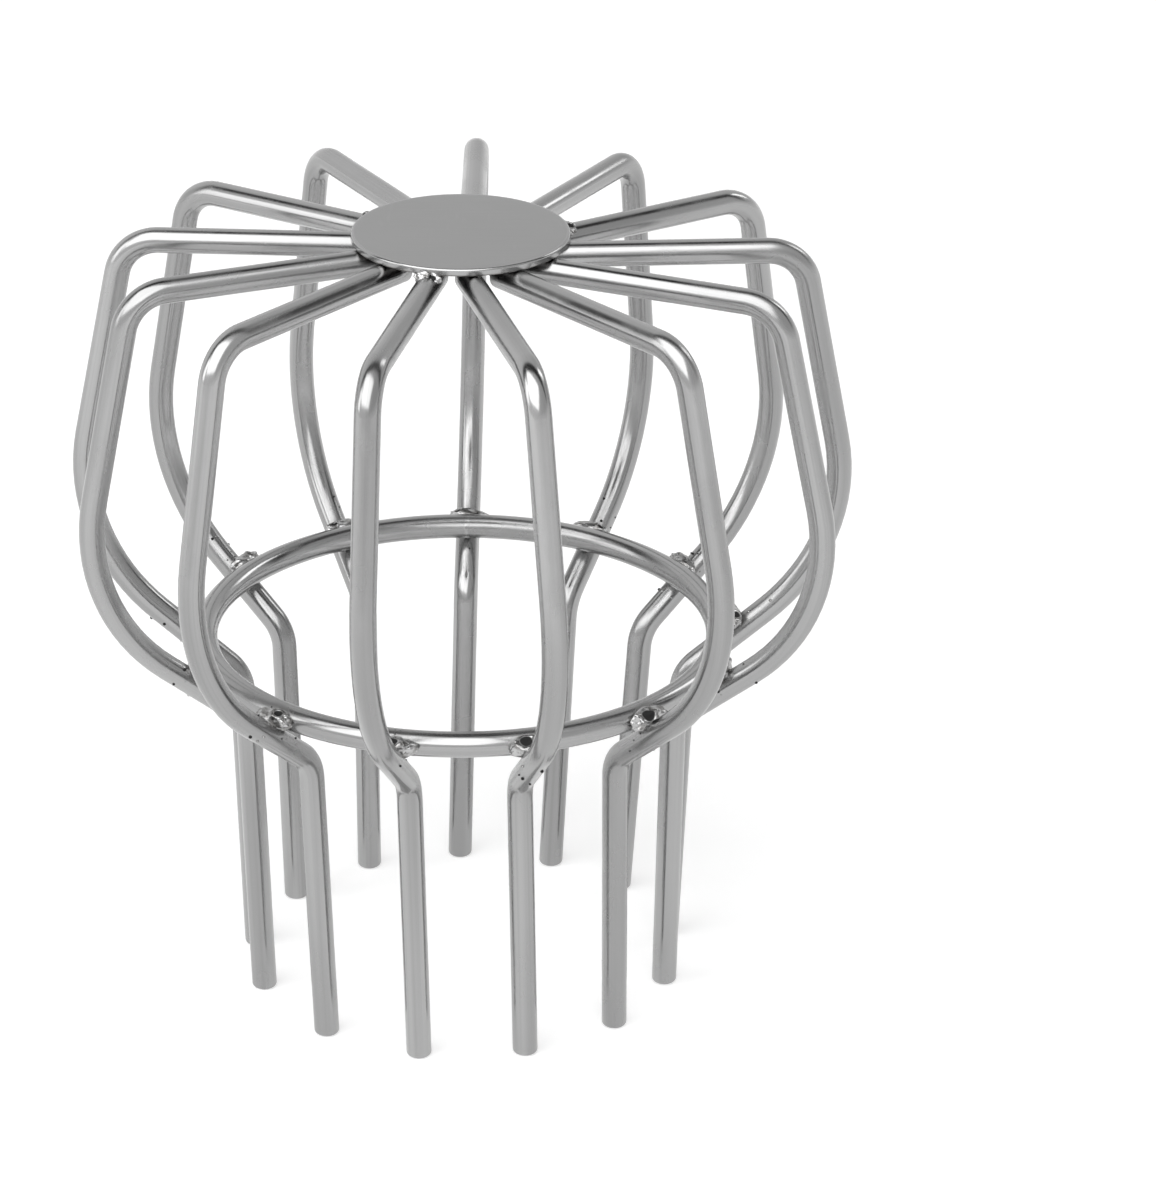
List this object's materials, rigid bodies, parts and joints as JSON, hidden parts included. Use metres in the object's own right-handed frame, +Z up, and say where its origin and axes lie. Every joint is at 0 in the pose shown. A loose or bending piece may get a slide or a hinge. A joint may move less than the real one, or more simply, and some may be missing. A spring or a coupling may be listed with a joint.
{
  "type": "drain filter",
  "caption": "Wire cage strainer that plugs into a drain or downpipe mouth: bent wire ribs on a ring, under a round cap.",
  "frame": {"origin": "on the axis of the cage, at the level of the feet", "axes": "+Z up along the axis, +X to the right of the pictured view, +Y away from it, through the first rib"},
  "size_m": [0.1076, 0.1068, 0.11],
  "materials": {
    "wire": "drawn stainless wire, satin",
    "sheet": "rolled stainless sheet, satin",
    "weld": "as-welded stainless steel"
  },
  "bodies": {
    "root": {"cap": "sheet", "ring": "wire", "rib_01": "wire", "rib_02": "wire", "rib_03": "wire", "rib_04": "wire", "rib_05": "wire", "rib_06": "wire", "rib_07": "wire", "rib_08": "wire", "rib_09": "wire", "rib_10": "wire", "rib_11": "wire", "rib_12": "wire", "rib_13": "wire", "ring_weld_01": "weld", "ring_weld_02": "weld", "ring_weld_03": "weld", "ring_weld_04": "weld", "ring_weld_05": "weld", "ring_weld_06": "weld", "ring_weld_07": "weld", "ring_weld_08": "weld", "ring_weld_09": "weld", "ring_weld_10": "weld", "ring_weld_11": "weld", "ring_weld_12": "weld", "ring_weld_13": "weld", "cap_weld_01": "weld", "cap_weld_02": "weld", "cap_weld_03": "weld", "cap_weld_04": "weld", "cap_weld_05": "weld", "cap_weld_06": "weld", "cap_weld_07": "weld", "cap_weld_08": "weld", "cap_weld_09": "weld", "cap_weld_10": "weld", "cap_weld_11": "weld", "cap_weld_12": "weld", "cap_weld_13": "weld", "rim_weld_03": "weld", "rim_weld_08": "weld", "rim_weld_12": "weld"}
  },
  "joints": []
}
